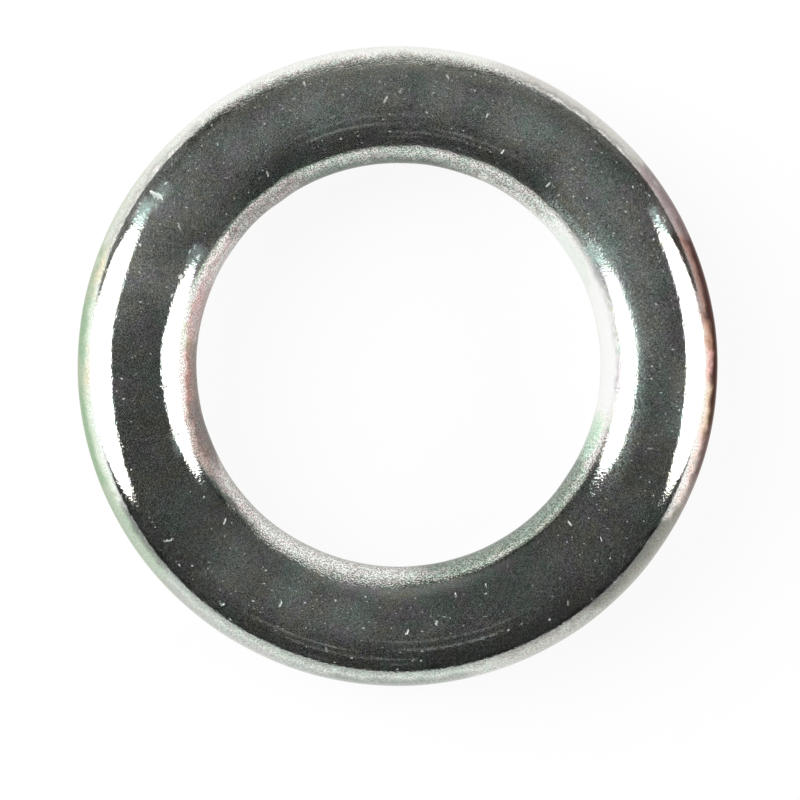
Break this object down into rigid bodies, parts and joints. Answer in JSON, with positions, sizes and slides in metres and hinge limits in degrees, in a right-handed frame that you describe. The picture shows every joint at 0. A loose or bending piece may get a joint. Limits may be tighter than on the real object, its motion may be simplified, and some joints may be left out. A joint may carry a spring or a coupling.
{
  "type": "welded ring",
  "caption": "Round steel ring bent from round bar and butt welded, bright zinc finish, used to join shackles, hooks, lashings and ropes.",
  "frame": {"origin": "centre of the ring, half way through the bar's thickness", "axes": "+Z along the ring's axis, with the ring lying flat, and the weld's middle 125 degrees round from +X"},
  "size_m": [0.055, 0.055, 0.01],
  "materials": {
    "zinc_plated_steel": "polished"
  },
  "bodies": {
    "root": {"ring": "zinc_plated_steel"}
  },
  "joints": []
}
